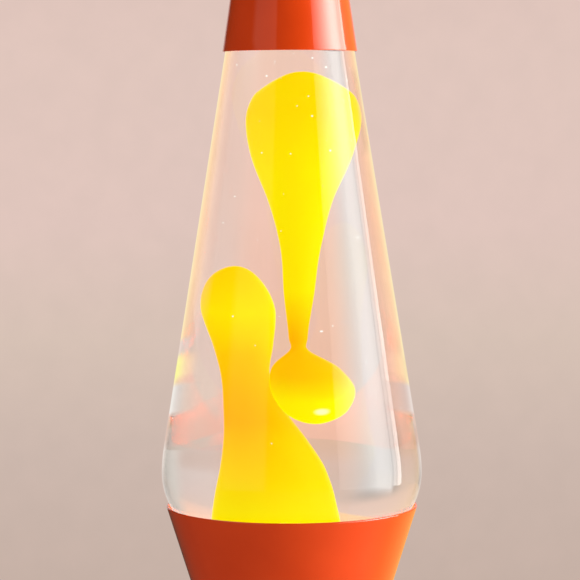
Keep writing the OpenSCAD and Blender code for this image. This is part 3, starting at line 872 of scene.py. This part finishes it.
def make_cup():
    slope, waist_r, bend = CUP_SLOPE, WAIST_R, WAIST_BEND
    wall = SHEET_T / cos(radians(CUP_TAPER))
    half = wall / 2
    rim_r = RIM_R - slope * half
    corner = (waist_r + slope * SHEET_T - wall, WAIST_Z + SHEET_T)
    outline = (
        [(FLANGE_R, WAIST_Z), (waist_r - bend, WAIST_Z)]
        + arc(waist_r - bend, WAIST_Z + bend, bend, -90, -CUP_TAPER, 5)[1:]
        + even((waist_r + slope * bend * 1.4, WAIST_Z + bend * 1.4), (rim_r, RIM_Z - half), 30)
        + arc(rim_r - half, RIM_Z - half, half, -CUP_TAPER, 180 - CUP_TAPER, 10)
        + even((rim_r - wall, RIM_Z - half), corner, 12)[1:] + [corner, (FLANGE_R, corner[1])]
    )
    piece = lathe("cup", outline, "base", "orange_enamel", ["base_cup"], 192)
    cut_with(piece, WAIST_HOLES)


def make_foot():
    slope = (FOOT_R - WAIST_R) / (WAIST_Z - SHEET_T - FOOT_EDGE_Z)
    taper = degrees(atan(slope))
    wall = SHEET_T / cos(radians(taper))
    half = wall / 2
    edge_z = FOOT_EDGE_Z + half
    edge_r = FOOT_R - slope * half
    waist_r = FOOT_R - slope * (WAIST_Z - FOOT_EDGE_Z)
    corner = (waist_r + slope * SHEET_T - wall, WAIST_Z - SHEET_T)
    bend = WAIST_BEND
    outline = (
        arc(edge_r - half, edge_z, half, -180, 0, 10)
        + even((edge_r, edge_z), (waist_r + slope * bend * 1.4, WAIST_Z - bend * 1.4), 30)[1:]
        + arc(waist_r - bend + slope * bend * 0.4, WAIST_Z - bend, bend, taper, 90, 5)
        + [(FLANGE_R, WAIST_Z), (FLANGE_R, corner[1])]
        + even(corner, (edge_r - wall, edge_z), 12)
    )
    piece = lathe("foot", outline, "base", "orange_enamel", ["base_foot"], 192)
    inlet_z, inlet_r = 17 * MM, 5.1 * MM
    inlet = Vector((0, FOOT_R - slope * (inlet_z - FOOT_EDGE_Z) - half, inlet_z))
    tilt = Matrix.Rotation(radians(-90 + taper), 3, "X")
    cut_with(piece, [(inlet, tilt, inlet_r, 12 * MM)] + WAIST_HOLES)
    make_grommet(Matrix.Translation(inlet) @ tilt.to_4x4())


def make_grommet(place):
    """The rubber grommet in the foot's cord inlet."""
    bore, groove_r, flange_r = 3.2, 5, 7
    groove, flange, edge = 1.2, 2, 0.6
    outline = (
        arc(bore + edge, -groove - flange + edge, edge, 180, 270, 4)
        + arc(flange_r - edge, -groove - flange + edge, edge, -90, 0, 4)
        + arc(flange_r - 0.2, -groove - 0.2, 0.2, 0, 90, 2)
        + [(groove_r, -groove), (groove_r, groove)]
        + arc(flange_r - 0.3, groove + 0.3, 0.3, -90, 0, 3)
        + arc(flange_r - 1.4, groove + flange - 1.4, 1.4, 0, 90, 6)
        + arc(bore + edge, groove + flange - edge, edge, 90, 180, 4)
    )
    points, faces, _ = lathe_mesh(in_mm(outline), 64)
    points = [place @ Vector(p) for p in points]
    make_object("grommet", points, faces, "base", "black_rubber", ["cord_grommet"])


def make_feet():
    """Rubber feet pushed into the base plate, each a soft pad with a barbed stem."""
    low, high = PLATE_LOW / MM, PLATE_TOP / MM
    spread = 40 * MM
    outline = (
        [(0, 0.35), (2.2, 0.35), (2.6, 0)] + arc(5, 0.8, 0.8, -90, -8, 5)
        + arc(6, low - 0.5, 0.4, 0, 90, 4) + [(2.5, low), (2.5, high), (3.3, high)]
        + [(3.2, high + 0.5), (2, high + 2.4), (1.6, high + 2.5), (0, high + 2.5)]
    )
    foot_points, foot_faces, _ = lathe_mesh(in_mm(outline), 48)
    points, faces = [], []
    for angle in (45, 135, 225, 315):
        dx, dy = polar(spread, radians(angle))
        start = len(points)
        points += [(x + dx, y + dy, z) for x, y, z in foot_points]
        faces += [tuple(start + v for v in face) for face in foot_faces]
    make_object("feet", points, faces, "base", "black_rubber", ["rubber_feet"])


# ---- Lampholder and bulb ----

def make_holder():
    """The porcelain lampholder, with a groove round it and a collar at its mouth."""
    low, high = HOLDER_LOW / MM, HOLDER_TOP / MM
    outer, bore, nipple = 13.5, 8, 5.05
    floor = low + 4
    outline = (
        [(nipple, low)] + arc(outer - 1, low + 1, 1, -90, 0, 5)
        + arc(outer - 1, low + 13, 1, 0, 60, 4)
        + arc(outer - 0.9, low + 14.8, 0.6, 225, 180, 3)
        + arc(outer - 0.9, high - 3, 0.6, 180, 120, 3)
        + arc(outer - 1.1, high - 1.9, 0.9, -40, 0, 3)
        + arc(outer - 1.1, high - 0.9, 0.9, 0, 90, 5)
        + arc(bore + 0.6, high - 0.6, 0.6, 90, 180, 4)
        + [(bore, floor), (nipple, floor)]
    )
    lathe("holder", in_mm(outline), "base", "porcelain", ["lampholder_body"], 96)


def bulb_side(inset):
    """The outline of the bulb's glass, as on the CAD bulb, moved inwards by inset."""
    bulge, neck_r, neck_round, turn = 9 * MM, 9 * MM, 2 * MM, 65
    rise = radians(turn)
    dome = bulge + (BULB_R - bulge) / cos(rise)
    bulge_z = BULB_TOP - dome + (BULB_R - bulge) * tan(rise)
    return (
        [(0, ENVELOPE_Z + inset)]
        + arc(neck_r - neck_round, ENVELOPE_Z + neck_round, neck_round - inset, -90, 0, 5)
        + [(neck_r - inset, ENVELOPE_Z + 5 * MM), (neck_r - inset + 0.2 * MM, ENVELOPE_Z + 7 * MM)]
        + arc(BULB_R - bulge, bulge_z, bulge - inset, -24, turn, 16)
        + arc(0, BULB_TOP - dome, dome - inset, turn, 90, 12)[:-1] + [(0, BULB_TOP - inset)]
    )


def make_bulb():
    envelope_t = 0.8 * MM
    outline = bulb_side(0) + bulb_side(envelope_t)[::-1]
    lathe("bulb_glass", outline, "bulb", "bulb_glass", ["bulb_envelope"], 128)


def make_bulb_cap():
    """The bulb's brass screw shell with its rolled thread."""
    low, high = SCREW_CAP_LOW / MM, ENVELOPE_Z / MM
    shell_r, inner_r, edge, pitch = 6.95, 6.65, 0.9, 2.82
    thread_low, thread_high, run_out, thread_depth = low + 1.2, high - 4.5, 1.2, 0.42 * MM

    def thread(a, r, z):
        z /= MM
        inside = max(0, min(1, (z - thread_low) / run_out, (thread_high - z) / run_out))
        turn = a - 2 * pi * z / pitch
        return thread_depth * inside * (cos(turn) - 1) if r / MM > shell_r - 1 else 0

    outline = (
        [(shell_r - 1.7, low + 0.3), (shell_r - 1.3, low)]
        + arc(shell_r - edge, low + edge, edge, -80, 0, 4)
        + even((shell_r, low + 1.2), (shell_r, high - 3), 44)
        + [(shell_r, high - 3), (shell_r + 0.2, high - 2), (8.8, high - 0.3), (8.8, high)]
        + [(8.4, high), (inner_r, high - 1.9)]
        + even((inner_r, high - 3), (inner_r, low + 1.4), 44)
    )
    lathe(
        "bulb_cap", in_mm(outline), "bulb", "bulb_cap_metal", ["bulb_screw_cap"], 96, 60, thread)


# ---- Wiring ----

def rounded(corners):
    """A route through corners, rounded by a quadratic curve at each inner one, as in the CAD."""
    route = [corners[0]]
    last = len(corners) - 2
    steps = 10
    for i in range(1, last + 1):
        a = corners[i - 1].lerp(corners[i], 0.6 if i == 1 else 0.5)
        b = corners[i].lerp(corners[i + 1], 0.4 if i == last else 0.5)
        for k in range(steps + (i == last)):
            t = k / steps
            route.append(a.lerp(corners[i], t).lerp(corners[i].lerp(b, t), t))
    return route + [corners[-1]]


def make_leads():
    """The leads from the terminal block: two to the lampholder, and the earth to its tag."""
    plate_top = PLATE_TOP / MM
    way_z = plate_top + 5
    row_y, pitch, lead_r, sides = 24, 6.6, 0.9 * MM, 16
    under_holder = HOLDER_LOW / MM - 0.2
    for name, colour, way, x in (
        ("lead_live", "lead_brown", -1, -5), ("lead_neutral", "lead_blue", 0, 3),
    ):
        path = rounded([Vector(c) * MM for c in [
            (way * pitch, row_y + 3, way_z), (way * pitch, row_y - 6, way_z),
            (x, 10.5, way_z + 6), (x, 10.5, under_holder),
        ]])
        points, faces = loft(tube(path, lead_r, sides))
        make_object(name + "_wire", points, faces, "base", colour, [name], 60)
    path = rounded([Vector(c) * MM for c in [
        (pitch, row_y + 3, way_z), (pitch, row_y - 4, way_z),
        (11, 16, plate_top + 2), (12, 13, plate_top + 1.85),
    ]])
    rings = tube(path, lead_r, sides, up=Vector((0, 0, 1)))
    points, faces = loft(rings)
    uvs = [(j / sides, i / len(rings)) for i in range(len(rings)) for j in range(sides)]
    make_object(
        "lead_earth_wire", points, faces, "base", "lead_green", ["lead_earth"], 60,
        uvs=uvs + [(0, 0), (0, 1)])


# ---- CAD nodes that are kept, with their materials ----

KEPT = {
    "liner": ["closure_liner"],
    "plated_steel": [
        "bottle_seat_ring", "base_plate", "plate_lugs", "holder_bracket", "holder_nipple"],
    "screw_steel": [
        "waist_screws", "waist_nuts", "plate_screws", "bracket_screws", "terminal_screws"],
    "brass_parts": [
        "nipple_nut", "lampholder_shell", "lampholder_contact", "terminal_inserts", "earth_tag",
        "earth_screw", "bulb_contact"],
    "bulb_insulation": ["bulb_insulator"],
    "tungsten": ["bulb_filament", "bulb_support_wires"],
    "porcelain": ["bulb_stem"],
    "nylon": ["terminal_block"],
}


def dress_kept_nodes():
    for material, names in KEPT.items():
        for name in names:
            mesh = nodes[name].data
            mesh.materials.clear()
            mesh.materials.append(MATERIALS[material])


make_cap()
make_bottle()
make_liquid()
make_bubbles()
make_closure()
make_wax("drop", DROP, False, "wax", "wax_drop")
make_wax("mound", MOUND, True, "bottle", "wax_mound")
make_coil()
make_cup()
make_foot()
make_feet()
make_holder()
make_bulb()
make_bulb_cap()
make_leads()
dress_kept_nodes()


# ---- Studio ----

AMBIENT = (0.62, 0.49, 0.42)


def screen_share(right):
    """How much the grey screen covers, from a direction's part to the right."""
    return times(smooth(right, -0.16, -0.34), smooth(right, -0.6, -0.43))


def make_world():
    scene.world = bpy.data.worlds.new("studio")
    start_tree(scene.world)
    direction = add("TexCoord").outputs["Generated"]
    right, back, up = axes(direction)
    # The wall behind the lamp, from well below the horizon to well above it
    wall = ramp(span(up, -0.2, 0.12), [
        (0, 0.55, 0.43, 0.37), (0.1, 0.578, 0.45, 0.39), (0.22, 0.61, 0.48, 0.42),
        (0.36, 0.68, 0.54, 0.465), (0.5, 0.745, 0.565, 0.509), (0.7, 0.75, 0.57, 0.51),
        (1, 0.72, 0.53, 0.48),
    ])
    mottle = ramp(noise(direction, 90, 3), [(0.3, 0.985), (0.7, 1.015, 1.01, 1.01)])
    wall = mix(1, wall, mottle, "MULTIPLY")
    # Through the bottle the wall looks brighter, for the wax lights the liquid
    level = span(up, -0.25, 0.35)
    left_glow = ramp(level, [
        (0.08, 0.86, 0.54, 0.42), (0.14, 0.89, 0.57, 0.46), (0.2, 0.9, 0.6, 0.51),
        (0.5, 0.9, 0.64, 0.54), (0.58, 1.04, 0.71, 0.59), (0.8, 1.15, 0.78, 0.63),
        (1, 1.4, 0.88, 0.68),
    ])
    right_glow = ramp(level, [
        (0.05, 0.82, 0.62, 0.54), (0.15, 0.85, 0.61, 0.52), (0.22, 0.88, 0.63, 0.54),
        (0.3, 0.96, 0.73, 0.65), (0.5, 0.97, 0.72, 0.64), (0.6, 1, 0.72, 0.62),
        (0.66, 1.22, 0.79, 0.63), (0.76, 1.42, 0.86, 0.64), (1, 1.5, 0.9, 0.64),
    ])
    seen = mix(smooth(right, 0.15, 0.35), left_glow, right_glow)
    # A pale screen stands at the right behind the lamp, and a grey one at the left
    seen = mix(smooth(right, 0.5, 0.68), seen, (0.98, 0.83, 0.74))
    screen = times(screen_share(right), smooth(up, 0.11, 0))
    seen = mix(screen, seen, (0.47, 0.41, 0.385))
    # The rim's light on the bottle's foot, seen at the back
    slant = maths("ADD", up, times(right, 0.4))
    strip = times(smooth(slant, 0.042, 0.06), smooth(right, -0.1, -0.16))
    seen = mix(strip, seen, (1.36, 0.82, 0.46))
    seen = mix(1, seen, mottle, "MULTIPLY")
    # What the gloss sees: the wall behind, a dim room in front, a paler panel at the left and
    # a warm one at the right
    gloss = ramp(span(up, -1, 1), [
        (0, 0.14, 0.1, 0.05), (0.42, 0.08, 0.055, 0.025), (0.5, 0.04, 0.028, 0.012)])
    panel = times(span(right, -0.36, -0.42), span(right, -0.92, -0.86))
    panel = times(panel, span(back, 0, -0.1))
    gloss = mix(panel, gloss, (0.46, 0.35, 0.28))
    warm = times(smooth(right, 0.3, 0.5), smooth(back, 0.15, 0.4))
    gloss = mix(warm, gloss, (0.75, 0.5, 0.17))
    gloss = mix(smooth(back, 0.87, 0.95), gloss, wall)
    colour = wall
    rays = add("LightPath").outputs
    for ray, look in (("Diffuse", AMBIENT), ("Glossy", gloss), ("Transmission", seen)):
        colour = mix(rays["Is " + ray + " Ray"], colour, look)
    show(add("Background", ins={"Color": colour}).outputs[0], "World")


def area_light(name, place, target, size, power, colour, shape, hidden):
    """An area light that the rays named in hidden don't see."""
    data = bpy.data.lights.new(name, "AREA")
    data.shape = shape
    data.size, data.size_y = size
    data.energy = power
    data.color = colour
    light = link_object(name, data)
    light.location = place
    light.rotation_mode = "QUATERNION"
    light.rotation_quaternion = (Vector(target) - Vector(place)).to_track_quat("-Z", "Y")
    for ray in hidden:
        setattr(light, "visible_" + ray, False)
    return light


def make_softbox():
    """A tall softbox at the right, brightest where it stands beside the lamp. Its panel has
    two seams near that edge."""
    distance, turn, reach = 1.3, 76, 35
    middle_z = RIM_Z + 0.22
    height = 1.16
    width = 2 * distance * tan(radians(reach))
    place = (*polar(distance, radians(turn - 90)), middle_z)
    light = area_light(
        "softbox", place, (0, 0, middle_z), (width, height), width * height * pi,
        (1, 0.98, 0.95), "RECTANGLE", ("camera", "transmission"))

    def across(angle):
        return 0.5 + distance * tan(radians(angle - turn)) / width

    brightest = 9.8
    # The panel's brightness by the angle from straight in front of the lamp
    steps = [
        (41.2, 0.9), (48, 1.9), (54, 3), (60, 4.2), (66, 5.6), (72, 7.2), (80, 9), (88, 8.6),
        (95, 6.8), (97.4, 6), (98, 4.2), (99.6, 4.2), (100, 5.4), (103.2, 5), (103.6, 3.6),
        (105, 3.6), (105.4, 5.6), (110, 5.6),
    ]
    start_tree(light.data)
    side = axes(add("NewGeometry").outputs["Parametric"])[0]
    shade = ramp(side, [(across(angle), v / brightest) for angle, v in steps])
    show(emission(shade, brightest), "Light")


def make_bulb_light():
    """The bulb's light in the bottle, and a small one that glints in the wax and the glass."""
    for name, rise, width, power, colour, hidden in (
        ("bulb_light", 1, 44, 4, (1, 0.72, 0.4), ("camera", "glossy", "transmission")),
        ("bulb_glint", 2, 14, 0.6, (1, 0.9, 0.6), ("camera", "transmission")),
    ):
        area_light(
            name, (0, 0, BULB_TOP + rise * MM), (0, 0, 1), (width * MM, width * MM), power,
            colour, "DISK", hidden)


def make_floor():
    """A pale round floor that fades into the backdrop."""
    radius, rings, sides = 0.9, 24, 144
    points = [(0, 0, 0)]
    for i in range(1, rings + 1):
        points += [(*polar(radius * i / rings, a), 0) for a in circle(sides)]
    faces = [(0, 1 + j, 1 + (j + 1) % sides) for j in range(sides)]
    for i in range(rings - 1):
        low, high = 1 + i * sides, 1 + (i + 1) * sides
        for j in range(sides):
            k = (j + 1) % sides
            faces.append((low + j, high + j, high + k, low + k))
    mesh = bpy.data.meshes.new("floor")
    mesh.from_pydata(points, [], faces)
    floor_material()
    mesh.materials.append(MATERIALS["floor"])
    link_object("floor", mesh)


def floor_material():
    """Pale paint for the camera, and for other rays the floor as the lamp lights it."""
    where = new_material("floor")
    far = add("VectorMath", {"operation": "LENGTH"}, {0: where}).outputs["Value"]
    cloud = noise(where, 30, 4)
    colour = ramp(cloud, [(0.3, 0.56, 0.46, 0.41), (0.7, 0.6, 0.5, 0.445)])
    paint = principled({"Base Color": colour, "Roughness": 0.7})
    faded = mix_shader(smooth(far, 0.22, 0.58), paint, transparent(1))
    # The gloss sees the floor lit at the right, with the softbox's spill beside the lamp
    heading = add("VectorMath", {"operation": "NORMALIZE"}, {0: where}).outputs[0]
    right, back, _ = axes(heading)
    turn = maths("ARCTAN2", right, times(back, -1))
    lit = ramp(span(turn, -pi, pi), [
        (0.2, 0.06, 0.055, 0.04), (0.37, 0.1, 0.085, 0.06), (0.52, 0.14, 0.12, 0.09),
        (0.64, 0.3, 0.25, 0.2), (0.72, 0.36, 0.34, 0.24), (0.8, 0.6, 0.4, 0.14),
        (0.86, 0.9, 0.55, 0.16), (0.97, 0.9, 0.55, 0.16), (1, 0.1, 0.08, 0.05),
    ])
    spill_from, spill_full, spill_last, spill_to = (radians(a) for a in (44, 82, 95, 100))
    spill = times(span(turn, spill_from, spill_full), span(turn, spill_to, spill_last))
    spill = times(spill, smooth(far, 0.4, 0.88))
    lit = mix(spill, lit, (7.2, 7.0, 6.8))
    # The bottle's liquid warms what is seen through it
    warm = ramp(right, [
        (0.25, 1, 0.56, 0.44), (0.4, 0.98, 0.61, 0.49), (0.62, 0.97, 0.62, 0.51),
        (0.75, 0.88, 0.69, 0.61),
    ])
    outer = times(span(far, 0.79, 0.82), smooth(right, 0.2, 0.35))
    warm = mix(outer, warm, (0.83, 0.64, 0.54))
    warm = mix(screen_share(right), warm, (0.53, 0.385, 0.335))
    rays = add("LightPath").outputs
    look = mix(rays["Is Transmission Ray"], lit, warm)
    look = mix(rays["Is Diffuse Ray"], look, (0.66, 0.54, 0.46))
    unseen, lighting = one_minus(rays["Is Camera Ray"]), one_minus(rays["Is Shadow Ray"])
    indirect = maths("MINIMUM", unseen, lighting)
    show(mix_shader(indirect, faded, emission(look, 1)))


make_world()
make_softbox()
make_bulb_light()
make_floor()
